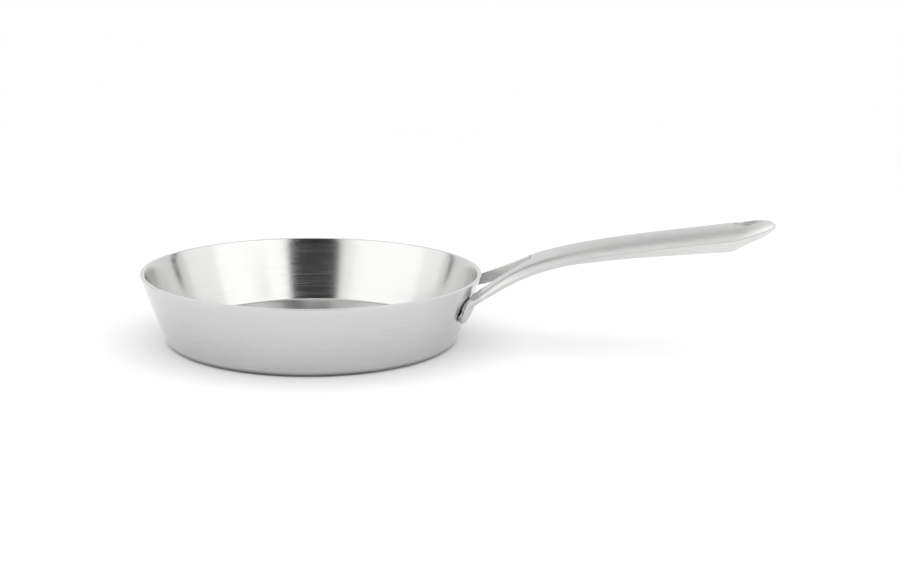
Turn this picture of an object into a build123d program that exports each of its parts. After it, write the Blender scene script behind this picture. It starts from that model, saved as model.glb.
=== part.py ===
from build123d import *
import os
from math import asin, cos, degrees, radians, sin, sqrt

# Omelette pan of three-ply sheet with a forked, cast steel handle welded to its wall.
# Millimetres. The origin is the centre of the base's underside, +Z up, and the handle lies along +X.

# Pan body
rim_radius = 100.0            # outer edge of the ground rim
wall_flare = 14.85            # the rim stands out this much beyond the corner at the base
pan_height = 40.8
wall_bow = 0.35               # the wall swells outwards by this much at half height
corner_radius = 3.6           # outside of the bend between base and wall

# The clad sheet, from the outside in
skin_thickness = 0.5
core_thickness = 1.3
liner_thickness = 0.5

# Handle: the casting as a whole
handle_length = 169.3         # from the rim to the tip
arm_inset = 12.0              # from the rim in to where the fork's arms would end inside the wall
arm_crest_drop = 9.2          # crest line there, below the rim
tip_crest_rise = 38.7         # crest line at the tip, above the rim, before the nose is rounded
grip_half_width = 12.2        # at the widest place, near the nose
dome_height = 8.4             # crest above the side edges, at the same place
skirt_depth = 7.0             # side edges above the underside, at the same place
casting_wall = 3.8            # metal left round the hollow underside

# Nose of the handle
nose_length = 25.3            # from the end of the full grip to the tip
nose_drop = 5.1               # how far the crest falls towards the tip
nose_tip_rise = 33.5          # where underside and crest meet, above the rim
nose_end_half_width = 1.3     # small flat left at the very tip
nose_end_thickness = 0.7

# Hanging slot near the tip, wider at the end towards the pan
slot_length = 16.2
slot_wide_radius = 6.3
slot_narrow_radius = 4.3
slot_from_tip = 7.9           # tip to the narrow end of the slot

# Fork between the handle and the wall
fork_gap_length = 28.4        # from the rim to the closed end of the fork's gap
fork_end_half_gap = 5.7
fork_end_corner_radius = 2.4  # corners of the closed end
fork_wall_half_gap = 20.4     # half gap between the arms beside the rim
fork_middle_half_gap = 12.3   # half gap halfway along the arms

# Feet, one on each arm, bent to the wall
foot_half_length = 9.0        # along the wall
foot_half_height = 7.9
foot_thickness = 2.6
foot_outset = 5.6             # centre of a foot, outwards from its arm's inner side at the rim
foot_drop = 15.4              # centre of a foot, below the rim
foot_edge_round = 1.2
foot_gap = 0.5                # clearance between foot and wall, bridged by the welds
foot_notch_radius = 2.4       # half-moon notch in a foot's outer end, on the side of the wall
foot_notch_depth = 1.3        # notch, into the thickness of the foot
foot_notch_bite = 1.4         # notch, in from the edge of the foot

# Weld nuggets between feet and wall, two to a foot, one above the other
nugget_length = 11.0          # along the wall
nugget_height = 2.4
nugget_spread = 3.6           # height from the centre of the foot to the middle of each nugget

overrun = 5.0                 # how far cutters reach past what they cut

# Stations of the casting, from the wall to the start of the nose: along the handle, crest rise,
# half width, dome height, skirt depth, half width of the underside to that of the side edges, fullness of the dome
station_shares = (
    (0.000, 0.000, 2.83, 0.81, 0.28, 0.95, 0.76),
    (0.077, 0.132, 2.31, 0.73, 0.29, 0.95, 0.76),
    (0.154, 0.271, 1.61, 0.76, 0.36, 0.93, 0.74),
    (0.205, 0.357, 1.22, 0.85, 0.35, 0.90, 0.70),
    (0.250, 0.434, 1.00, 0.94, 0.38, 0.87, 0.64),
    (0.295, 0.493, 0.92, 0.91, 0.45, 0.84, 0.59),
    (0.384, 0.578, 0.88, 0.94, 0.41, 0.82, 0.56),
    (0.493, 0.657, 0.89, 0.98, 0.47, 0.81, 0.56),
    (0.654, 0.750, 0.94, 1.00, 0.61, 0.80, 0.56),
    (0.821, 0.831, 0.98, 0.99, 0.79, 0.80, 0.56),
    (0.917, 0.877, 1.00, 1.00, 0.88, 0.80, 0.56),
    (0.974, 0.904, 1.00, 1.00, 0.95, 0.80, 0.56),
    (1.000, 0.915, 1.00, 1.00, 0.94, 0.80, 0.56),
)
nose_angles = (18, 36, 52, 66, 78, 86)   # degrees round the nose, at which it has a station
nose_rise_shares = (0.31, 0.53, 0.71, 0.87, 0.96, 1.00)   # how far the underside has risen there
nose_round_share = 1.7                   # how late the crest falls
nose_edge_share = 0.38                   # side edge, between underside and crest
channel_shares = (                       # hollow underside: station, height and width of the hollow
    (6, 0.30, 0.45),
    (7, 0.90, 0.90),
    (8, 1.00, 1.00),
    (9, 1.00, 1.00),
)

# The wall's section is an arc, and every layer is concentric with it
base_corner_radius = rim_radius - wall_flare
wall_chord = sqrt(wall_flare ** 2 + pan_height ** 2)
wall_arc_radius = (wall_chord ** 2 / 4 + wall_bow ** 2) / (2 * wall_bow)
chord_out = (pan_height / wall_chord, -wall_flare / wall_chord)
arc_inset = wall_arc_radius - wall_bow
wall_arc_centre = (
    (rim_radius + base_corner_radius) / 2 - chord_out[0] * arc_inset,
    pan_height / 2 - chord_out[1] * arc_inset,
)

# Places of the handle, which all follow the rim
tip_reach = rim_radius + handle_length
nose_start = tip_reach - nose_length
arm_start = rim_radius - arm_inset
arm_crest_height = pan_height - arm_crest_drop
tip_crest_height = pan_height + tip_crest_rise
nose_tip_height = pan_height + nose_tip_rise
fork_end_reach = rim_radius + fork_gap_length
foot_side = fork_wall_half_gap + foot_outset
foot_height = pan_height - foot_drop


def wall_radius_at(height, inward):
    """Radius of the wall at a height, the given distance inside its outer face."""
    rise = height - wall_arc_centre[1]
    return wall_arc_centre[0] + sqrt((wall_arc_radius - inward) ** 2 - rise ** 2)


def section_edges(inward):
    """The bent sheet's section as edges from the axis to the rim, the given distance inside its outer face."""
    bend = corner_radius - inward
    bend_rise = corner_radius - wall_arc_centre[1]
    bend_reach = wall_arc_radius - corner_radius
    bend_run = sqrt(bend_reach ** 2 - bend_rise ** 2)
    out = Vector(bend_run / bend_reach, 0, bend_rise / bend_reach)
    bend_centre = Vector(wall_arc_centre[0] + bend_run, 0, corner_radius)
    start = Vector(bend_centre.X, 0, inward)
    middle = bend_centre + (out - Vector(0, 0, 1)).normalized() * bend
    end = bend_centre + out * bend
    half_height = (end.Z + pan_height) / 2
    half = Vector(wall_radius_at(half_height, inward), 0, half_height)
    rim = Vector(wall_radius_at(pan_height, inward), 0, pan_height)
    floor_line = Edge.make_line(Vector(0, 0, inward), start)
    bend_arc = Edge.make_three_point_arc(start, middle, end)
    wall_arc = Edge.make_three_point_arc(end, half, rim)
    return [floor_line, bend_arc, wall_arc]


def sheet_layer(outside, thickness):
    """One layer of the clad sheet, turned about the pan's axis."""
    outer = section_edges(outside)
    inner = section_edges(outside + thickness)
    axis_line = Edge.make_line(inner[0] @ 0, outer[0] @ 0)
    rim_line = Edge.make_line(outer[-1] @ 1, inner[-1] @ 1)
    section = Face(Wire(outer + [rim_line] + inner + [axis_line]))
    return revolve(section, Axis.Z, 360)


def wall_arc_edge(outward, low, high):
    """The wall's arc from one height to another, the given distance outside its outer face."""
    middle = (low + high) / 2
    points = [Vector(wall_radius_at(height, -outward), 0, height) for height in (low, middle, high)]
    return Edge.make_three_point_arc(*points)


def wall_band(inside, outside, low, high, angle):
    """Solid between two distances outside the wall and two heights, from +X round by the angle."""
    inner = wall_arc_edge(inside, low, high)
    outer = wall_arc_edge(outside, low, high)
    low_line = Edge.make_line(outer @ 0, inner @ 0)
    high_line = Edge.make_line(inner @ 1, outer @ 1)
    return revolve(Face(Wire([inner, high_line, outer, low_line])), Axis.Z, angle)


def pan_space():
    """All that lies within the wall and the clearance round it, from the base to the rim."""
    outer = wall_arc_edge(foot_gap, 0, pan_height)
    low_line = Edge.make_line(Vector(0, 0, 0), outer @ 0)
    high_line = Edge.make_line(outer @ 1, Vector(0, 0, pan_height))
    axis_line = Edge.make_line(Vector(0, 0, pan_height), Vector(0, 0, 0))
    return revolve(Face(Wire([low_line, outer, high_line, axis_line])), Axis.Z, 360)


def dome_section(x, crest, edge, underside, half_width, under_half_width, fullness):
    """Section of the casting: a domed top between two sharp side edges, and skirts drawn in to the underside."""
    dome = crest - edge
    left = [
        Vector(x, -half_width, edge),
        Vector(x, -half_width, edge + dome * fullness),
        Vector(x, -half_width * fullness, crest),
        Vector(x, 0, crest),
    ]
    right = [Vector(point.X, -point.Y, point.Z) for point in reversed(left)]
    low_right = Vector(x, under_half_width, underside)
    low_left = Vector(x, -under_half_width, underside)
    return Wire([
        Edge.make_bezier(*left),
        Edge.make_bezier(*right),
        Edge.make_line(right[-1], low_right),
        Edge.make_line(low_right, low_left),
        Edge.make_line(low_left, left[0]),
    ])


def grip_stations():
    """Stations of the casting from the wall to the start of the nose, in real sizes."""
    stations = []
    for along, rise, width, dome, skirt, under, fullness in station_shares:
        x = arm_start + along * (nose_start - arm_start)
        crest = arm_crest_height + rise * (tip_crest_height - arm_crest_height)
        edge = crest - dome * dome_height
        half_width = width * grip_half_width
        stations.append((x, crest, edge, edge - skirt * skirt_depth, half_width, under * half_width, fullness))
    return stations


def nose_stations(last):
    """Stations round the nose, which narrows and thins to a small flat at the tip."""
    x, crest, edge, underside, half_width, under_half_width, fullness = last
    stations = []
    for angle, risen in zip(nose_angles, nose_rise_shares):
        ahead = sin(radians(angle))
        turn = cos(radians(angle))
        top = crest + (tip_crest_height - crest) * ahead - nose_drop * (1 - turn) ** nose_round_share
        low = underside + (nose_tip_height - underside) * risen
        low = min(low, top - nose_end_thickness)
        side = low + (top - low) * nose_edge_share
        width = nose_end_half_width + (half_width - nose_end_half_width) * turn
        under_width = width * under_half_width / half_width
        stations.append((x + nose_length * ahead, top, side, low, width, under_width, fullness))
    return stations


def fork_gap():
    """Cutter for the gap between the arms: it flares towards the wall and has a blunt closed end."""
    corner_reach = fork_end_reach - fork_end_corner_radius
    corner_half_gap = fork_end_half_gap - fork_end_corner_radius
    middle_reach = (rim_radius + corner_reach) / 2
    start_reach = arm_start - overrun
    flare = (fork_wall_half_gap - fork_middle_half_gap) / (middle_reach - rim_radius)
    start_half_gap = fork_wall_half_gap + flare * (rim_radius - start_reach)
    right = [
        Vector(start_reach, start_half_gap, 0),
        Vector(rim_radius, fork_wall_half_gap, 0),
        Vector(middle_reach, fork_middle_half_gap, 0),
        Vector(corner_reach, fork_end_half_gap, 0),
        Vector(
            corner_reach + fork_end_corner_radius * sin(radians(45)),
            corner_half_gap + fork_end_corner_radius * cos(radians(45)),
            0,
        ),
        Vector(fork_end_reach, corner_half_gap, 0),
    ]
    left = [Vector(point.X, -point.Y, point.Z) for point in right]
    edges = [Edge.make_line(left[0], right[0]), Edge.make_line(right[-1], left[-1])]
    for points in (right, left):
        edges.append(Edge.make_line(points[0], points[1]))
        edges.append(Edge.make_three_point_arc(points[1], points[2], points[3]))
        edges.append(Edge.make_three_point_arc(points[3], points[4], points[5]))
    return extrude(Face(Wire(edges)), tip_crest_height + overrun, dir=(0, 0, 1))


def hanging_slot():
    """Cutter for the hanging slot, straight down through the nose: two round ends and their tangents."""
    narrow_end = tip_reach - slot_from_tip
    wide_end = narrow_end - slot_length
    narrow_centre = narrow_end - slot_narrow_radius
    wide_centre = wide_end + slot_wide_radius
    ahead = (slot_wide_radius - slot_narrow_radius) / (narrow_centre - wide_centre)
    aside = sqrt(1 - ahead ** 2)
    wide = Vector(wide_centre + slot_wide_radius * ahead, slot_wide_radius * aside, 0)
    narrow = Vector(narrow_centre + slot_narrow_radius * ahead, slot_narrow_radius * aside, 0)
    wide_left = Vector(wide.X, -wide.Y, 0)
    narrow_left = Vector(narrow.X, -narrow.Y, 0)
    outline = Wire([
        Edge.make_three_point_arc(wide, Vector(wide_end, 0, 0), wide_left),
        Edge.make_line(wide_left, narrow_left),
        Edge.make_three_point_arc(narrow_left, Vector(narrow_end, 0, 0), narrow),
        Edge.make_line(narrow, wide),
    ])
    return extrude(Face(outline), tip_crest_height + overrun, dir=(0, 0, 1))


def underside_channel(stations):
    """Cutter for the hollow underside, which leaves an even wall under the dome."""
    sections = []
    for index, height_share, width_share in channel_shares:
        x, crest, edge, underside, half_width, under_half_width, fullness = stations[index]
        top = underside + (crest - casting_wall - underside) * height_share
        width = (under_half_width - casting_wall / 2) * width_share
        low = underside - overrun
        sections.append(Wire([
            Edge.make_bezier(
                Vector(x, -width, underside),
                Vector(x, -width, underside + (top - underside) * fullness),
                Vector(x, -width * fullness, top),
                Vector(x, 0, top),
            ),
            Edge.make_bezier(
                Vector(x, 0, top),
                Vector(x, width * fullness, top),
                Vector(x, width, underside + (top - underside) * fullness),
                Vector(x, width, underside),
            ),
            Edge.make_line(Vector(x, width, underside), Vector(x, width, low)),
            Edge.make_line(Vector(x, width, low), Vector(x, -width, low)),
            Edge.make_line(Vector(x, -width, low), Vector(x, -width, underside)),
        ]))
    return Solid.make_loft(sections)


def foot_plane(side):
    """Plane on the wall's outer face at the centre of a foot, square to the wall. Side is 1 or -1."""
    radius = wall_radius_at(foot_height, 0)
    turn = asin(foot_side / radius) * side
    rise = (foot_height - wall_arc_centre[1]) / wall_arc_radius
    flat = sqrt(1 - rise ** 2)
    out = Vector(cos(turn) * flat, sin(turn) * flat, rise)
    origin = Vector(cos(turn) * radius, sin(turn) * radius, foot_height)
    along = Vector(-sin(turn), cos(turn), 0)
    return Plane(origin, x_dir=along, z_dir=out)


def foot_pad(side):
    """An oval foot with a rounded outer edge. It still reaches into the wall's space, which is cut away later."""
    pad = extrude(Ellipse(foot_half_length, foot_half_height), foot_gap + foot_thickness, both=True)
    pad = fillet(pad.edges().sort_by(Axis.Z)[-1], foot_edge_round)
    return foot_plane(side) * pad


def foot_notch(side):
    """Cutter for the notch in a foot's outer end, on the side of the wall."""
    out = side * (foot_half_length - foot_notch_bite + foot_notch_radius)
    return foot_plane(side) * Pos(out, 0, foot_gap) * Cylinder(foot_notch_radius, 2 * foot_notch_depth)


def handle_casting():
    """The whole handle: grip, nose and forked arms lofted in one, then opened, hollowed and set on its feet."""
    stations = grip_stations()
    body = Solid.make_loft([dome_section(*station) for station in stations + nose_stations(stations[-1])])
    body = body - fork_gap() - hanging_slot() - underside_channel(stations)
    body = body + foot_pad(-1) + foot_pad(1)
    return body - pan_space() - foot_notch(-1) - foot_notch(1)


def weld_nuggets():
    """Fused metal that bridges the gap between each foot and the wall, two nuggets to a foot."""
    nuggets = []
    for side in (-1, 1):
        for shift in (-nugget_spread, nugget_spread):
            middle = foot_height + shift
            radius = wall_radius_at(middle, 0)
            angle = degrees(nugget_length / radius)
            turn = side * degrees(asin(foot_side / radius))
            band = wall_band(0, foot_gap, middle - nugget_height / 2, middle + nugget_height / 2, angle)
            nuggets.append(Rot(0, 0, turn - angle / 2) * band)
    return Compound(children=nuggets)


os.makedirs("parts", exist_ok=True)
nodes = {
    "outer_skin": sheet_layer(0, skin_thickness),
    "aluminium_core": sheet_layer(skin_thickness, core_thickness),
    "inner_liner": sheet_layer(skin_thickness + core_thickness, liner_thickness),
    "handle": handle_casting(),
    "weld_nuggets": weld_nuggets(),
}
for name, shape in nodes.items():
    export_step(shape, f"parts/{name}.step")
    print(name, len(shape.solids()), "solids,", round(shape.volume), "mm3")
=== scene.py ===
import bpy, bmesh, math
from mathutils import Matrix, Vector


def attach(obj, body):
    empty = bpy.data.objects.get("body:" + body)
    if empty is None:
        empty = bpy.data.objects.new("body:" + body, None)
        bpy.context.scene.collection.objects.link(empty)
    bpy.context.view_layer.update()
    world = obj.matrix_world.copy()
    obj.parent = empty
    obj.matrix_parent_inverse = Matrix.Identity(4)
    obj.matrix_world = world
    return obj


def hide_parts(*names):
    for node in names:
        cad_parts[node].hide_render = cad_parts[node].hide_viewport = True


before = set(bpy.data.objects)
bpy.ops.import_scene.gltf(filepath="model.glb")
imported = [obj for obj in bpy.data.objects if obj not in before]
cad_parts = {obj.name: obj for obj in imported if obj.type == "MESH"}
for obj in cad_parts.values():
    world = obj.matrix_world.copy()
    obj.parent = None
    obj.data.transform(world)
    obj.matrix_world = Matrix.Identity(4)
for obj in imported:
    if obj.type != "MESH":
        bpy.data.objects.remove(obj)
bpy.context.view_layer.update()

mm = 0.001
scene = bpy.context.scene


# #RRGGBB to the linear values that a shader takes
def srgb(hexColour):
    parts = [int(hexColour[i:i + 2], 16) / 255 for i in (1, 3, 5)]
    return [c / 12.92 if c <= 0.04045 else ((c + 0.055) / 1.055) ** 2.4 for c in parts] + [1.0]


def clearSelection():
    if bpy.context.object and bpy.context.object.mode != "OBJECT":
        bpy.ops.object.mode_set(mode="OBJECT")
    bpy.ops.object.select_all(action="DESELECT")


def makeActive(*objects):
    clearSelection()
    for o in objects:
        o.select_set(True)
    bpy.context.view_layer.objects.active = objects[-1]
    return objects[-1]


# goes into edit mode with the vertices picked by their place
def selectVertices(obj, wanted):
    makeActive(obj)
    bpy.ops.object.mode_set(mode="EDIT")
    bpy.ops.mesh.select_mode(type="VERT")
    bm = bmesh.from_edit_mesh(obj.data)
    for v in bm.verts:
        v.select = bool(wanted(v.co))
    bm.select_flush_mode()
    bmesh.update_edit_mesh(obj.data)


def addModifier(obj, kind, **settings):
    m = obj.modifiers.new(kind.lower(), kind)
    for k, v in settings.items():
        setattr(m, k, v)
    makeActive(obj)
    bpy.ops.object.modifier_apply(modifier=m.name)


# cutters and joined parts are used up
def combine(obj, other, operation):
    addModifier(obj, "BOOLEAN", operation=operation, object=other, solver="EXACT")
    bpy.data.objects.remove(other)


def addNode(tree, kind, links=None, **settings):
    node = tree.nodes.new(kind)
    for k, v in settings.items():
        if k.startswith("in_"):
            key = k[3:]
            node.inputs[int(key) if key.isdigit() else key.replace("_", " ")].default_value = v
        else:
            setattr(node, k, v)
    for socket, source in (links or {}).items():
        tree.links.new(source, node.inputs[socket])
    return node


cameraSet = {"place": (0.1089, -0.7289, 0.2), "heading": -2.16, "pitch": 12.78, "roll": 1.24, "lens": 50.56}
camera = bpy.data.objects.new("camera", bpy.data.cameras.new("camera"))
scene.collection.objects.link(camera)
scene.camera = camera
camera.data.sensor_width = 36
camera.data.lens = cameraSet["lens"]
camera.data.clip_start = 0.01
heading, pitch, roll = (math.radians(cameraSet[k]) for k in ("heading", "pitch", "roll"))
ahead = Vector((math.sin(heading) * math.cos(pitch), math.cos(heading) * math.cos(pitch), -math.sin(pitch)))
level = ahead.cross(Vector((0, 0, 1))).normalized()
upright = level.cross(ahead)
right = level * math.cos(roll) + upright * math.sin(roll)
up = right.cross(ahead)
camera.matrix_world = Matrix.Translation(cameraSet["place"]) @ Matrix((right, up, -ahead)).transposed().to_4x4()
print("camera is up")


# pan body, in mm: three layers of sheet, each spun from its section
pan = {"rim": 100.0, "flare": 14.85, "height": 40.8, "bow": 0.35, "bend": 3.6,
       "skin": 0.5, "core": 1.3, "liner": 0.5, "lipRound": 0.3, "steps": 240}

chord = math.hypot(pan["flare"], pan["height"])
arcRadius = (chord ** 2 / 4 + pan["bow"] ** 2) / (2 * pan["bow"])
arcX = pan["rim"] - pan["flare"] / 2 - pan["height"] / chord * (arcRadius - pan["bow"])
arcZ = pan["height"] / 2 + pan["flare"] / chord * (arcRadius - pan["bow"])


def wallRadius(height, inward):
    return arcX + math.sqrt((arcRadius - inward) ** 2 - (height - arcZ) ** 2)


# from the axis to the rim, the given distance inside the outer face
def sectionLine(inward, wallPoints=10, bendPoints=9):
    bendRise = pan["bend"] - arcZ
    bendX = arcX + math.sqrt((arcRadius - pan["bend"]) ** 2 - bendRise ** 2)
    endAngle = math.atan2(bendRise, bendX - arcX)
    r = pan["bend"] - inward
    points = [(0, inward)]
    for i in range(bendPoints + 1):
        a = -math.pi / 2 + (endAngle + math.pi / 2) * i / bendPoints
        points.append((bendX + r * math.cos(a), pan["bend"] + r * math.sin(a)))
    low = points[-1][1]
    for i in range(1, wallPoints + 1):
        z = low + (pan["height"] - low) * i / wallPoints
        points.append((wallRadius(z, inward), z))
    return points


# a line drawn by extruding one vertex from point to point, left in edit mode and selected
def drawLine(name, points):
    clearSelection()
    bpy.ops.mesh.primitive_plane_add(size=mm, location=(0, 0, 0))
    obj = bpy.context.object
    obj.name = obj.data.name = name
    bpy.ops.object.mode_set(mode="EDIT")
    bpy.ops.mesh.select_mode(type="VERT")
    bpy.ops.mesh.merge(type="CENTER")
    bpy.ops.transform.translate(value=[c * mm for c in points[0]])
    for a, b in zip(points, points[1:]):
        step = [(q - p) * mm for p, q in zip(a, b)]
        bpy.ops.mesh.extrude_vertices_move(TRANSFORM_OT_translate={"value": step})
    bpy.ops.mesh.select_all(action="SELECT")
    return obj


def spinSection(name, points, steps):
    obj = drawLine(name, [(x, 0, z) for x, z in points])
    bpy.ops.mesh.spin(steps=steps, angle=2 * math.pi, center=(0, 0, 0), axis=(0, 0, 1))
    bpy.ops.mesh.select_all(action="SELECT")
    bpy.ops.mesh.remove_doubles(threshold=0.002 * mm)
    bpy.ops.mesh.normals_make_consistent(inside=False)
    bpy.ops.object.mode_set(mode="OBJECT")
    return obj


def spinLayer(name, outside, inside, lip=None):
    layer = spinSection(name, sectionLine(outside) + sectionLine(inside)[::-1], pan["steps"])
    if lip is not None:  # the ground rim's corner is eased
        r = wallRadius(pan["height"], lip)
        selectVertices(layer, lambda co: co.z > (pan["height"] - 0.01) * mm
                       and abs(math.hypot(co.x, co.y) - r * mm) < 0.05 * mm)
        bpy.ops.mesh.bevel(offset=pan["lipRound"] * mm, segments=3, affect="EDGES")
    makeActive(layer)
    bpy.ops.object.shade_smooth_by_angle(angle=math.radians(30))
    return layer


coreInside = pan["skin"] + pan["core"]
outerSkin = spinLayer("outerSkin", 0, pan["skin"], lip=0)
core = spinLayer("aluminiumCore", pan["skin"], coreInside)
liner = spinLayer("innerLiner", coreInside, coreInside + pan["liner"], lip=coreInside + pan["liner"])
print("pan layers are spun:", [len(o.data.polygons) for o in (outerSkin, core, liner)])


# handle, in mm; slotWide and slotNarrow are a place along and a radius
grip = {"rim": 100.0, "height": 40.8, "length": 169.3, "armInset": 12.0, "armDrop": 9.2, "tipRise": 38.7,
        "halfWidth": 12.2, "dome": 8.4, "skirt": 7.0, "castWall": 3.8, "noseLength": 25.3, "noseDrop": 5.1,
        "noseTipRise": 33.5, "noseRound": 1.7, "noseEdge": 0.38, "tipHalfWidth": 1.3, "tipThickness": 0.7,
        "slotWide": (251.5, 6.3), "slotNarrow": (257.1, 4.3), "slotSteps": (24, 16), "cutter": 90, "stations": 60,
        "noseStep": 4, "hollowStations": 24, "hollowDrop": 5, "voxel": 0.42, "smooth": 4}
# along, crest rise, half width, dome, skirt, underside to side width, fullness
gripShares = (
    (0.000, 0.000, 2.83, 0.81, 0.28, 0.95, 0.76), (0.077, 0.132, 2.31, 0.73, 0.29, 0.95, 0.76),
    (0.154, 0.271, 1.61, 0.76, 0.36, 0.93, 0.74), (0.205, 0.357, 1.22, 0.85, 0.35, 0.90, 0.70),
    (0.250, 0.434, 1.00, 0.94, 0.38, 0.87, 0.64), (0.295, 0.493, 0.92, 0.91, 0.45, 0.84, 0.59),
    (0.384, 0.578, 0.88, 0.94, 0.41, 0.82, 0.56), (0.493, 0.657, 0.89, 0.98, 0.47, 0.81, 0.56),
    (0.654, 0.750, 0.94, 1.00, 0.61, 0.80, 0.56), (0.821, 0.831, 0.98, 0.99, 0.79, 0.80, 0.56),
    (0.917, 0.877, 1.00, 1.00, 0.88, 0.80, 0.56), (0.974, 0.904, 1.00, 1.00, 0.95, 0.80, 0.56),
    (1.000, 0.915, 1.00, 1.00, 0.94, 0.80, 0.56))
# angle round the nose, share of the rise of its underside
noseShares = ((18, 0.31), (36, 0.53), (52, 0.71), (66, 0.87), (78, 0.96), (86, 1.0))
# row of gripShares, height and width of the hollow
hollowShares = ((6, 0.30, 0.45), (7, 0.90, 0.90), (8, 1.00, 1.00), (9, 1.00, 1.00))
# half gap between the arms, from inside the wall to the blunt end
gapLine = ((83, 31.0), (100, 20.4), (104.3, 17.5), (108.7, 14.8), (113, 12.3), (117.3, 9.9), (121.7, 7.7),
           (126, 5.7), (127.2, 5.35), (128.1, 4.5), (128.4, 3.3))


def gripRows():
    armStart = grip["rim"] - grip["armInset"]
    noseStart = grip["rim"] + grip["length"] - grip["noseLength"]
    armCrest = grip["height"] - grip["armDrop"]
    tipCrest = grip["height"] + grip["tipRise"]
    rows = []
    for along, rise, width, dome, skirt, under, full in gripShares:
        crest = armCrest + rise * (tipCrest - armCrest)
        edge = crest - dome * grip["dome"]
        w = width * grip["halfWidth"]
        x = armStart + along * (noseStart - armStart)
        rows.append((x, crest, edge, edge - skirt * grip["skirt"], w, under * w, full))
    x, crest, _, low, w, wLow, full = rows[-1]
    for angle, risen in noseShares:
        s, c = math.sin(math.radians(angle)), math.cos(math.radians(angle))
        top = crest + (tipCrest - crest) * s - grip["noseDrop"] * (1 - c) ** grip["noseRound"]
        bottom = min(low + (grip["height"] + grip["noseTipRise"] - low) * risen, top - grip["tipThickness"])
        half = grip["tipHalfWidth"] + (w - grip["tipHalfWidth"]) * c
        edge = bottom + (top - bottom) * grip["noseEdge"]
        rows.append((x + grip["noseLength"] * s, top, edge, bottom, half, half * wLow / w, full))
    return rows


# every column read at x, on a smooth curve through the rows
def smoothRow(rows, x):
    i = max(0, min(len(rows) - 2, sum(r[0] <= x for r in rows) - 1))
    a, b = rows[i], rows[i + 1]
    before, after = rows[max(i - 1, 0)], rows[min(i + 2, len(rows) - 1)]
    span = b[0] - a[0]
    t = (x - a[0]) / span
    out = [x]
    for k in range(1, len(a)):
        slopeA = (b[k] - before[k]) / (b[0] - before[0])
        slopeB = (after[k] - a[k]) / (after[0] - a[0])
        out.append((2 * t ** 3 - 3 * t ** 2 + 1) * a[k] + (t ** 3 - 2 * t ** 2 + t) * slopeA * span
                   + (3 * t ** 2 - 2 * t ** 3) * b[k] + (t ** 3 - t ** 2) * slopeB * span)
    return out


# one section as a closed bezier curve, turned into a mesh
def sectionRing(x, crest, edge, low, w, wLow, full):
    clearSelection()
    bpy.ops.curve.primitive_bezier_curve_add(location=(0, 0, 0))
    obj = bpy.context.object
    spline = obj.data.splines[0]
    spline.bezier_points.add(3)
    spline.use_cyclic_u = True
    spline.resolution_u = 10
    obj.data.dimensions = "3D"
    d = crest - edge
    corners = (
        # place, handle before, handle after
        ((-w, edge), (-w + (w - wLow) / 3, edge - (edge - low) / 3), (-w, edge + d * full)),
        ((0, crest), (-w * full, crest), (w * full, crest)),
        ((w, edge), (w, edge + d * full), (w - (w - wLow) / 3, edge - (edge - low) / 3)),
        ((wLow, low), (wLow + (w - wLow) / 3, low + (edge - low) / 3), (wLow / 3, low)),
        ((-wLow, low), (-wLow / 3, low), (-wLow - (w - wLow) / 3, low + (edge - low) / 3)))
    for point, (at, before, after) in zip(spline.bezier_points, corners):
        point.handle_left_type = point.handle_right_type = "FREE"
        point.co = (x * mm, at[0] * mm, at[1] * mm)
        point.handle_left = (x * mm, before[0] * mm, before[1] * mm)
        point.handle_right = (x * mm, after[0] * mm, after[1] * mm)
    bpy.ops.object.convert(target="MESH")
    return bpy.context.object


def loftRings(name, rings):
    makeActive(*rings)
    bpy.ops.object.join()
    obj = bpy.context.object
    obj.name = obj.data.name = name
    bpy.ops.object.mode_set(mode="EDIT")
    bpy.ops.mesh.select_all(action="SELECT")
    bpy.ops.mesh.bridge_edge_loops(type="SINGLE")
    bpy.ops.mesh.select_all(action="DESELECT")
    bpy.ops.mesh.select_mode(type="EDGE")
    bpy.ops.mesh.select_non_manifold()
    bpy.ops.mesh.edge_face_add()  # closes both ends
    bpy.ops.mesh.select_all(action="SELECT")
    bpy.ops.mesh.normals_make_consistent(inside=False)
    bpy.ops.object.mode_set(mode="OBJECT")
    return obj


# a flat outline, filled and pulled straight up
def uprightCutter(name, outline, height):
    obj = drawLine(name, [(x, y, 0) for x, y in outline])
    bpy.ops.mesh.edge_face_add()
    bpy.ops.mesh.extrude_region_move(TRANSFORM_OT_translate={"value": (0, 0, height * mm)})
    bpy.ops.mesh.select_all(action="SELECT")
    bpy.ops.mesh.normals_make_consistent(inside=False)
    bpy.ops.object.mode_set(mode="OBJECT")
    return obj


rows = gripRows()
armEnd, noseStart, tip = rows[0][0], rows[len(gripShares) - 1][0], rows[-1][0]
places = [armEnd + (noseStart - armEnd) * i / grip["stations"] for i in range(grip["stations"])]
places += [noseStart + grip["noseLength"] * math.sin(math.radians(a))
           for a in range(0, noseShares[-1][0] + 1, grip["noseStep"])]
handle = loftRings("handleCasting", [sectionRing(*smoothRow(rows, x)) for x in places if x <= tip])
print("handle is lofted:", len(handle.data.polygons), "faces")

gap = uprightCutter("forkGap", list(gapLine) + [(x, -y) for x, y in reversed(gapLine)], grip["cutter"])
combine(handle, gap, "DIFFERENCE")

(wideX, wideR), (narrowX, narrowR) = grip["slotWide"], grip["slotNarrow"]
tangent = math.degrees(math.acos((wideR - narrowR) / (narrowX - wideX)))
wideSteps, narrowSteps = grip["slotSteps"]
slotLine = []
for i in range(wideSteps + 1):
    a = math.radians(tangent + (360 - 2 * tangent) * i / wideSteps)
    slotLine.append((wideX + wideR * math.cos(a), wideR * math.sin(a)))
for i in range(narrowSteps + 1):
    a = math.radians(-tangent + 2 * tangent * i / narrowSteps)
    slotLine.append((narrowX + narrowR * math.cos(a), narrowR * math.sin(a)))
combine(handle, uprightCutter("slot", slotLine, grip["cutter"]), "DIFFERENCE")

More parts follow.
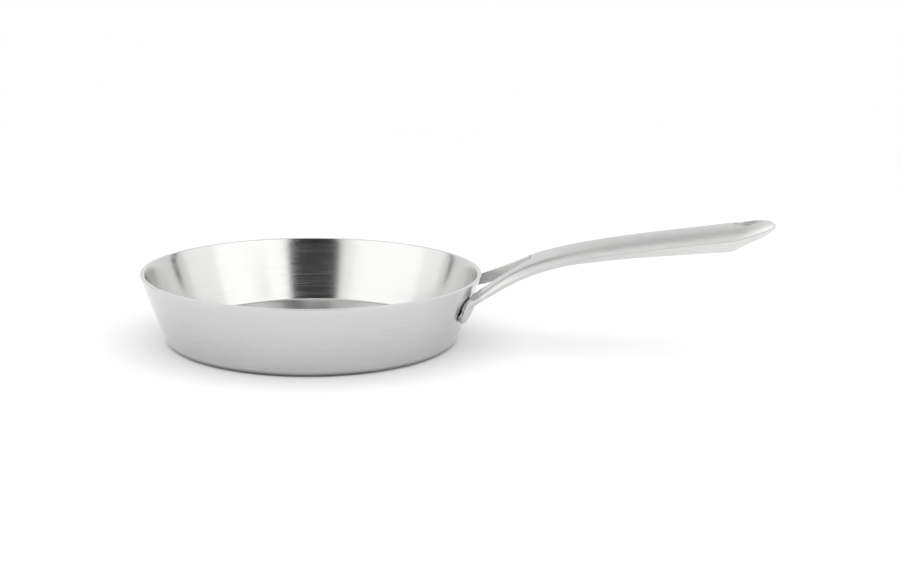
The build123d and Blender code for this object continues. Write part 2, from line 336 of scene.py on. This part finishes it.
hollowRows = []
for index, high, wide in hollowShares:
    x, crest, _, low, _, wLow, full = rows[index]
    half = (wLow - grip["castWall"] / 2) * wide
    top = low + (crest - grip["castWall"] - low) * high
    hollowRows.append((x, top, low, low - grip["hollowDrop"], half, half, full))
hollowStart, hollowEnd = hollowRows[0][0], hollowRows[-1][0]
hollowPlaces = [hollowStart + (hollowEnd - hollowStart) * i / grip["hollowStations"]
                for i in range(grip["hollowStations"] + 1)]
combine(handle, loftRings("hollow", [sectionRing(*smoothRow(hollowRows, x)) for x in hollowPlaces]), "DIFFERENCE")
print("fork, slot and hollow are cut")

# feet, in mm: oval pads welded to the wall
foot = {"halfLength": 9.0, "halfHeight": 7.9, "thickness": 2.6, "side": 26.0, "height": 25.4, "gap": 0.5,
        "trim": 0.1, "round": 1.2, "notchRadius": 2.4, "notchDepth": 1.3, "notchBite": 1.4,
        "flowAt": (98.5, 26.0, 31.5), "flowRadius": 6.5, "flowClear": 0.4, "flow": 30, "steps": 96}


# on the outer wall at the middle of a foot, z square to the wall
def footFrame(side):
    radius = wallRadius(foot["height"], 0)
    turn = math.asin(foot["side"] / radius) * side
    rise = (foot["height"] - arcZ) / arcRadius
    flat = math.sqrt(1 - rise ** 2)
    out = Vector((math.cos(turn) * flat, math.sin(turn) * flat, rise))
    along = Vector((-math.sin(turn), math.cos(turn), 0))
    place = Vector((math.cos(turn) * radius, math.sin(turn) * radius, foot["height"])) * mm
    return Matrix.Translation(place) @ Matrix((along, out.cross(along), out)).transposed().to_4x4()


def footPiece(name, side, radii, depth, at):
    clearSelection()
    bpy.ops.mesh.primitive_cylinder_add(vertices=foot["steps"], radius=1, depth=depth * mm)
    piece = bpy.context.object
    piece.name = piece.data.name = name
    piece.scale = (radii[0] * mm, radii[1] * mm, 1)
    bpy.ops.object.transform_apply(scale=True)
    if name == "foot":  # the outer edge is rounded
        selectVertices(piece, lambda co: co.z > 0)
        bpy.ops.mesh.bevel(offset=foot["round"] * mm, segments=5, affect="EDGES")
        bpy.ops.object.mode_set(mode="OBJECT")
    piece.matrix_world = footFrame(side) @ Matrix.Translation([c * mm for c in at])
    makeActive(piece)
    bpy.ops.object.transform_apply(location=True, rotation=True, scale=True)
    return piece


space = {"from": -5, "to": 45, "rows": 20, "steps": 360}


# the pan's whole space and what lies nearer to its wall than the given distance
def panSpace(distance):
    rise = (space["to"] - space["from"]) / space["rows"]
    heights = [space["from"] + rise * i for i in range(space["rows"] + 1)]
    line = [(0, space["from"])] + [(wallRadius(z, -distance), z) for z in heights] + [(0, space["to"])]
    return spinSection("panSpace", line, space["steps"])


for side in (-1, 1):
    pad = footPiece("foot", side, (foot["halfLength"], foot["halfHeight"]),
                    2 * (foot["gap"] + foot["thickness"]), (0, 0, 0))
    combine(handle, pad, "UNION")
combine(handle, panSpace(foot["gap"]), "DIFFERENCE")
notchAt = foot["halfLength"] - foot["notchBite"] + foot["notchRadius"]
for side in (-1, 1):
    notch = footPiece("notch", side, (foot["notchRadius"], foot["notchRadius"]), 2 * foot["notchDepth"],
                      (side * notchAt, 0, foot["gap"]))
    combine(handle, notch, "DIFFERENCE")
print("feet are on:", len(handle.data.polygons), "faces")

# a casting has no sharp edges: an even fine mesh, smoothed
addModifier(handle, "REMESH", mode="VOXEL", voxel_size=grip["voxel"] * mm)
addModifier(handle, "SMOOTH", factor=0.5, iterations=grip["smooth"])
for side in (-1, 1):  # the arms flow into the feet
    x, y, z = foot["flowAt"]
    junction = Vector((x, side * y, z)) * mm
    selectVertices(handle, lambda co: (co - junction).length < foot["flowRadius"] * mm
                   and math.hypot(co.x, co.y) > (wallRadius(co.z / mm, -foot["gap"]) + foot["flowClear"]) * mm)
    bpy.ops.mesh.vertices_smooth(factor=0.5, repeat=foot["flow"])
    bpy.ops.object.mode_set(mode="OBJECT")
# the feet are ground to the wall, so this edge stays sharp
combine(handle, panSpace(foot["gap"] + foot["trim"]), "DIFFERENCE")
makeActive(handle)
bpy.ops.object.shade_smooth_by_angle(angle=math.radians(50))
print("handle is smoothed:", len(handle.data.polygons), "faces")

# height above the side edge, in mm, tells the satin top from the polished sides
aboveEdge = handle.data.attributes.new("aboveEdge", "FLOAT", "POINT")
edgeHeights = [(x, edge) for x, _, edge, *_ in rows]
for v in handle.data.vertices:
    x = min(max(v.co.x / mm, rows[0][0]), tip)
    aboveEdge.data[v.index].value = v.co.z / mm - smoothRow(edgeHeights, x)[1]

for piece, node, slot in ((outerSkin, "outer_skin", "satin_steel"), (core, "aluminium_core", "core_aluminium"),
                          (liner, "inner_liner", "liner_steel"), (handle, "handle", "cast_steel")):
    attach(piece, "root")
    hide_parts(node)


def newMaterial(name, pieces):
    material = bpy.data.materials.new(name)
    material.use_nodes = True
    material.node_tree.nodes.clear()
    for piece in pieces:
        piece.data.materials.clear()
        piece.data.materials.append(material)
    return material.node_tree


# noise cells per radian round the pan: a brush line is some 80 mm long
brushLength = 1.1


# Rings of brushing round the pan's axis. Real brush lines are about 0.1 mm apart. They are drawn lineGap apart,
# 0.4 to 0.6 mm, so that they show.
def brushRings(tree, lineGap):
    at = addNode(tree, "ShaderNodeTexCoord").outputs["Object"]
    flat = addNode(tree, "ShaderNodeVectorMath", {0: at}, operation="MULTIPLY", in_1=(1, 1, 0)).outputs[0]
    radius = addNode(tree, "ShaderNodeVectorMath", {0: flat}, operation="LENGTH").outputs["Value"]
    turn = addNode(tree, "ShaderNodeVectorMath", {0: flat}, operation="NORMALIZE").outputs[0]
    height = addNode(tree, "ShaderNodeSeparateXYZ", {0: at}).outputs["Z"]
    along = addNode(tree, "ShaderNodeMath", {0: radius, 1: height}, operation="ADD").outputs[0]
    lines = addNode(tree, "ShaderNodeMath", {0: along}, operation="MULTIPLY", in_1=1 / (lineGap * mm)).outputs[0]
    turned = addNode(tree, "ShaderNodeVectorMath", {0: turn}, operation="SCALE", in_Scale=brushLength).outputs[0]
    stack = addNode(tree, "ShaderNodeCombineXYZ", {"Z": lines}).outputs[0]
    vector = addNode(tree, "ShaderNodeVectorMath", {0: turned, 1: stack}, operation="ADD").outputs[0]
    noise = addNode(tree, "ShaderNodeTexNoise", {"Vector": vector}, in_Scale=1.0, in_Detail=3.0, in_Roughness=0.6)
    tangent = addNode(tree, "ShaderNodeVectorMath", {0: turn}, operation="CROSS_PRODUCT", in_1=(0, 0, 1)).outputs[0]
    return noise.outputs["Fac"], tangent


# painted shade: the last two arguments set how dark the steel is made right at the foot of the pan, rising to full
# over the given height in mm, standing in for the floor's contact shadow that the steel mirrors there
def panSteel(name, piece, colour, roughness, spread, lineGap, bump, anisotropy, paintedBaseShade=1.0, paintedBaseShadeHeight=3.0):
    tree = newMaterial(name, [piece])
    at = addNode(tree, "ShaderNodeTexCoord").outputs["Object"]
    # painted shade: the steel gets darker towards the bottom of the pan, standing in for the mirrored contact shadow
    low = addNode(tree, "ShaderNodeSeparateXYZ", {0: at}).outputs["Z"]
    shade = addNode(tree, "ShaderNodeMapRange", {"Value": low}, in_1=0.0, in_2=paintedBaseShadeHeight * mm,
                    in_3=paintedBaseShade, in_4=1.0).outputs[0]
    tinted = addNode(tree, "ShaderNodeVectorMath", {"Scale": shade}, operation="SCALE",
                     in_0=srgb(colour)[:3]).outputs[0]
    noise, tangent = brushRings(tree, lineGap)
    rough = addNode(tree, "ShaderNodeMapRange", {"Value": noise}, in_1=0.3, in_2=0.7,
                    in_3=roughness - spread, in_4=roughness + spread).outputs[0]
    bumped = addNode(tree, "ShaderNodeBump", {"Height": noise}, in_Strength=bump, in_Distance=0.02 * mm).outputs[0]
    shader = addNode(tree, "ShaderNodeBsdfPrincipled",
                     {"Base Color": tinted, "Roughness": rough, "Normal": bumped, "Tangent": tangent},
                     in_Metallic=1.0, in_Anisotropic=anisotropy, in_Anisotropic_Rotation=0.25)
    addNode(tree, "ShaderNodeOutputMaterial", {"Surface": shader.outputs[0]})


# Satin stainless steel outside, brushed in rings: an even soft sheen with no clear reflections, darker at the very
# bottom with painted shade, standing in for the floor's contact shadow that the steel mirrors there
panSteel("satinStainlessSteel", outerSkin, colour="#CDCDCD", roughness=0.24, spread=0.05, lineGap=0.5, bump=0.35,
         anisotropy=0.7, paintedBaseShade=0.2)
# Brushed aluminium, only the ground edge shows in the rim: a little paler and duller than the steel
panSteel("groundAluminium", core, colour="#D6D7D9", roughness=0.4, spread=0.06, lineGap=0.6, bump=0.3, anisotropy=0.3)
# Finely brushed stainless steel inside: shapes mirror sharply round the pan and blur up and down it
panSteel("brushedStainlessSteel", liner, colour="#CFCFCE", roughness=0.19, spread=0.065, lineGap=0.4, bump=0.5,
         anisotropy=0.5)

# Cast stainless steel: the top is brushed satin along the grip and looks grey and even, the sides and the fork are
# smoother and mirror the studio, with a thin dark line of painted shade where the two meet, standing in for the
# shadow in that crease. Heights and places in mm.
cast = {"colour": "#D6D6D5", "polished": 0.1, "satin": 0.38, "armSatin": 0.6, "satinFrom": -0.2, "satinTo": 0.3,
        "line": 0.8, "creaseShadeFrom": 0.15, "creaseShadeTo": 0.55, "gripFrom": 134, "gripTo": 160,
        "footFrom": 102, "footTo": 98, "foot": 0.86, "footRough": 0.14,
        "lineLength": 12, "lineGap": 0.6, "lineRough": 0.1, "lineShade": (0.94, 1.04),
        "patch": 14, "patchRough": 0.06, "bump": (0.05, 0.6), "anisotropy": 0.6}
tree = newMaterial("castStainlessSteel", [handle])
above = addNode(tree, "ShaderNodeAttribute", attribute_name="aboveEdge", attribute_type="GEOMETRY").outputs["Fac"]
at = addNode(tree, "ShaderNodeTexCoord").outputs["Object"]
along = addNode(tree, "ShaderNodeSeparateXYZ", {0: at}).outputs["X"]


# a value between two limits, eased at both ends
def eased(value, start, end, low=0.0, high=1.0):
    return addNode(tree, "ShaderNodeMapRange", {"Value": value}, interpolation_type="SMOOTHSTEP",
                   in_1=start, in_2=end, in_3=low, in_4=high).outputs[0]


def between(value, low, high):
    return addNode(tree, "ShaderNodeMapRange", {"Value": value}, in_3=low, in_4=high).outputs[0]


def times(a, b):
    return addNode(tree, "ShaderNodeMath", {0: a, 1: b}, operation="MULTIPLY").outputs[0]


def addShare(value, share, base):
    return addNode(tree, "ShaderNodeMath", {0: value, 2: base}, operation="MULTIPLY_ADD", in_1=share).outputs[0]


offEdge = addNode(tree, "ShaderNodeMath", {0: above}, operation="ABSOLUTE").outputs[0]
onGrip = eased(along, cast["gripFrom"] * mm, cast["gripTo"] * mm)
onFoot = eased(along, cast["footTo"] * mm, cast["footFrom"] * mm, 1.0, 0.0)
satin = times(eased(above, cast["satinFrom"], cast["satinTo"]), between(onGrip, cast["armSatin"], 1.0))
# painted shade: a thin dark line along the grip's side edge, standing in for the shadow in the crease there
line = times(eased(offEdge, cast["creaseShadeFrom"], cast["creaseShadeTo"], 1.0, 0.0), onGrip)
# brushed lines really 0.1 mm apart, drawn 0.6 mm apart and 12 mm long
stretch = addNode(tree, "ShaderNodeVectorMath", {0: at}, operation="MULTIPLY",
                  in_1=(1 / (cast["lineLength"] * mm), 1 / (cast["lineGap"] * mm), 1 / (cast["lineGap"] * mm)))
lines = addNode(tree, "ShaderNodeTexNoise", {"Vector": stretch.outputs[0]},
                in_Scale=1.0, in_Detail=3.0, in_Roughness=0.6).outputs["Fac"]
patches = addNode(tree, "ShaderNodeTexNoise", {"Vector": at},
                  in_Scale=1 / (cast["patch"] * mm), in_Detail=2.0).outputs["Fac"]
rough = addShare(patches, cast["patchRough"], between(satin, cast["polished"], cast["satin"]))
rough = addShare(times(lines, satin), cast["lineRough"], rough)
rough = addShare(onFoot, cast["footRough"], rough)  # the feet keep the grey, dull skin of the casting
bumped = addNode(tree, "ShaderNodeBump", {"Height": lines, "Strength": between(satin, *cast["bump"])},
                 in_Distance=0.02 * mm).outputs[0]
# the painted crease shade times the feet's greyer casting tone
shade = times(between(line, 1.0, cast["line"]), between(onFoot, 1.0, cast["foot"]))
grain = addNode(tree, "ShaderNodeMapRange", {"Value": lines}, in_1=0.3, in_2=0.7,
                in_3=cast["lineShade"][0], in_4=cast["lineShade"][1]).outputs[0]
colour = addNode(tree, "ShaderNodeVectorMath", {"Scale": times(shade, grain)}, operation="SCALE",
                 in_0=srgb(cast["colour"])[:3]).outputs[0]
tangent = addNode(tree, "ShaderNodeCombineXYZ", in_X=1.0).outputs[0]
shader = addNode(tree, "ShaderNodeBsdfPrincipled",
                 {"Base Color": colour, "Roughness": rough, "Normal": bumped, "Tangent": tangent},
                 in_Metallic=1.0, in_Anisotropic=cast["anisotropy"], in_Anisotropic_Rotation=0.25)
addNode(tree, "ShaderNodeOutputMaterial", {"Surface": shader.outputs[0]})

# Melted and frozen weld steel, a little rough and dull grey: only a glint of it shows in the gap under the feet
weld = {"colour": "#A9A8A6", "grain": 0.5, "rough": (0.4, 0.7), "bump": 0.4}
tree = newMaterial("frozenWeldSteel", [])
at = addNode(tree, "ShaderNodeTexCoord").outputs["Object"]
grain = addNode(tree, "ShaderNodeTexNoise", {"Vector": at}, in_Scale=1 / (weld["grain"] * mm), in_Detail=3.0)
rough = between(grain.outputs["Fac"], *weld["rough"])
bumped = addNode(tree, "ShaderNodeBump", {"Height": grain.outputs["Fac"]},
                 in_Strength=weld["bump"], in_Distance=0.05 * mm).outputs[0]
shader = addNode(tree, "ShaderNodeBsdfPrincipled", {"Roughness": rough, "Normal": bumped},
                 in_Base_Color=srgb(weld["colour"]), in_Metallic=1.0)
addNode(tree, "ShaderNodeOutputMaterial", {"Surface": shader.outputs[0]})
for slot in bpy.data.objects["weld_nuggets"].material_slots:
    slot.material = bpy.data.materials["frozenWeldSteel"]
print("steel is on")

# studio: pale floor, white surroundings, soft boxes on both sides, and cards that only the steel sees
studio = {"floor": "#F4F4F4", "floorSize": 30, "ambient": 0.72, "whiteFrom": 0.35, "whiteTo": 1.3}


# 1 where the camera or a reflection looks, 0 for the light that falls on things
def seenNode():
    path = addNode(tree, "ShaderNodeLightPath").outputs
    seen = addNode(tree, "ShaderNodeMath", {0: path["Is Camera Ray"], 1: path["Is Glossy Ray"]}, operation="MAXIMUM")
    return addNode(tree, "ShaderNodeMath", {0: seen.outputs[0], 1: path["Is Transmission Ray"]},
                   operation="MAXIMUM").outputs[0]


clearSelection()
bpy.ops.mesh.primitive_plane_add(size=studio["floorSize"], location=(0, 0, 0))
floor = bpy.context.object
floor.name = floor.data.name = "floor"
# Matt white paper: holds the pan's soft shadow and fades into the white surroundings further out
tree = newMaterial("paperFloor", [floor])
at = addNode(tree, "ShaderNodeTexCoord").outputs["Object"]
away = addNode(tree, "ShaderNodeVectorMath", {0: at}, operation="LENGTH").outputs["Value"]
mix = times(seenNode(), eased(away, studio["whiteFrom"], studio["whiteTo"]))
paper = addNode(tree, "ShaderNodeBsdfDiffuse", in_Color=srgb(studio["floor"])).outputs[0]
white = addNode(tree, "ShaderNodeEmission", in_Color=srgb("#FFFFFF")).outputs[0]
shader = addNode(tree, "ShaderNodeMixShader", {0: mix, 1: paper, 2: white})
addNode(tree, "ShaderNodeOutputMaterial", {"Surface": shader.outputs[0]})

world = bpy.data.worlds.new("studio")
scene.world = world
world.use_nodes = True
tree = world.node_tree
tree.nodes.clear()
level = between(seenNode(), studio["ambient"], 1.0)
background = addNode(tree, "ShaderNodeBackground", {"Strength": level}, in_Color=srgb("#FFFFFF"))
addNode(tree, "ShaderNodeOutputWorld", {"Surface": background.outputs[0]})


# faces the pan from an azimuth and elevation in degrees, as seen from it
def standAround(obj, azimuth, elevation, distance):
    a, e = math.radians(azimuth), math.radians(elevation)
    way = Vector((math.cos(a) * math.cos(e), math.sin(a) * math.cos(e), math.sin(e)))
    facing = way.to_track_quat("Z", "Y").to_matrix().to_4x4()
    obj.matrix_world = Matrix.Translation(Vector((0, 0, 0.02)) + way * distance) @ facing


# azimuth, elevation, distance, width, height, brightness, mirrored in the steel. Two oval boxes on each side fade out
# softly; the fills and the one above give light without a reflection.
softBoxes = {"leftWide": (-154, 27, 1.5, 2.9, 1.8, 0.34, True), "leftNarrow": (-148, 27, 1.5, 1.6, 1.8, 0.24, True),
             "rightWide": (-16, 27, 1.5, 2.9, 1.8, 0.34, True), "rightNarrow": (-30, 27, 1.5, 1.6, 1.8, 0.3, True),
             "leftFill": (180, 13, 1.6, 2.0, 0.6, 2.0, False), "rightFill": (0, 13, 1.6, 2.0, 0.6, 2.0, False),
             "above": (80, 80, 1.8, 2.7, 2.7, 0.8, False)}
for name, (azimuth, elevation, distance, width, height, brightness, mirrored) in softBoxes.items():
    lamp = bpy.data.objects.new(name + "SoftBox", bpy.data.lights.new(name + "SoftBox", "AREA"))
    scene.collection.objects.link(lamp)
    lamp.data.shape = "ELLIPSE"
    lamp.data.size, lamp.data.size_y = width, height
    lamp.data.energy = brightness * math.pi * width * height * math.pi / 4
    lamp.visible_glossy = mirrored
    standAround(lamp, azimuth, elevation, distance)


def studioCard(name, colour, width, height):
    clearSelection()
    bpy.ops.mesh.primitive_plane_add(size=1)
    card = bpy.context.object
    card.name = card.data.name = name
    card.scale = (width, height, 1)
    bpy.ops.object.transform_apply(scale=True)
    card.visible_camera = card.visible_diffuse = card.visible_shadow = card.visible_transmission = False
    tree = newMaterial(name + "Flock", [card])
    shader = addNode(tree, "ShaderNodeEmission", in_Color=srgb(colour))
    addNode(tree, "ShaderNodeOutputMaterial", {"Surface": shader.outputs[0]})
    return card


# Cards that only reflections see: colour, width, height, tilt, place. The first gives the dark band inside the pan,
# the white one keeps it out of the handle's neck.
nearCards = {"cardBehindCamera": ("#1C1C1C", 0.262, 0.5, 90, (0.046, -0.3, 0.4)),
             "bounceCard": ("#FFFFFF", 0.09, 0.065, 90, (0.157, -0.07, 0.0875)),
             "cardOverhead": ("#7C7C7C", 0.15, 0.5, 180, (0.2, -0.12, 0.75))}
for name, (colour, width, height, tilt, place) in nearCards.items():
    card = studioCard(name, colour, width, height)
    card.rotation_euler = (math.radians(tilt), 0, 0)
    card.location = place
# colour, width, height, azimuth, elevation, distance
sideCards = {"cardRight": ("#404040", 0.12, 0.7, 41, 12, 1.4), "cardLeft": ("#303030", 0.1, 0.7, 152.5, 12, 1.4)}
for name, (colour, width, height, azimuth, elevation, distance) in sideCards.items():
    standAround(studioCard(name, colour, width, height), azimuth, elevation, distance)
print("studio is lit")

scene.view_settings.view_transform = "Standard"
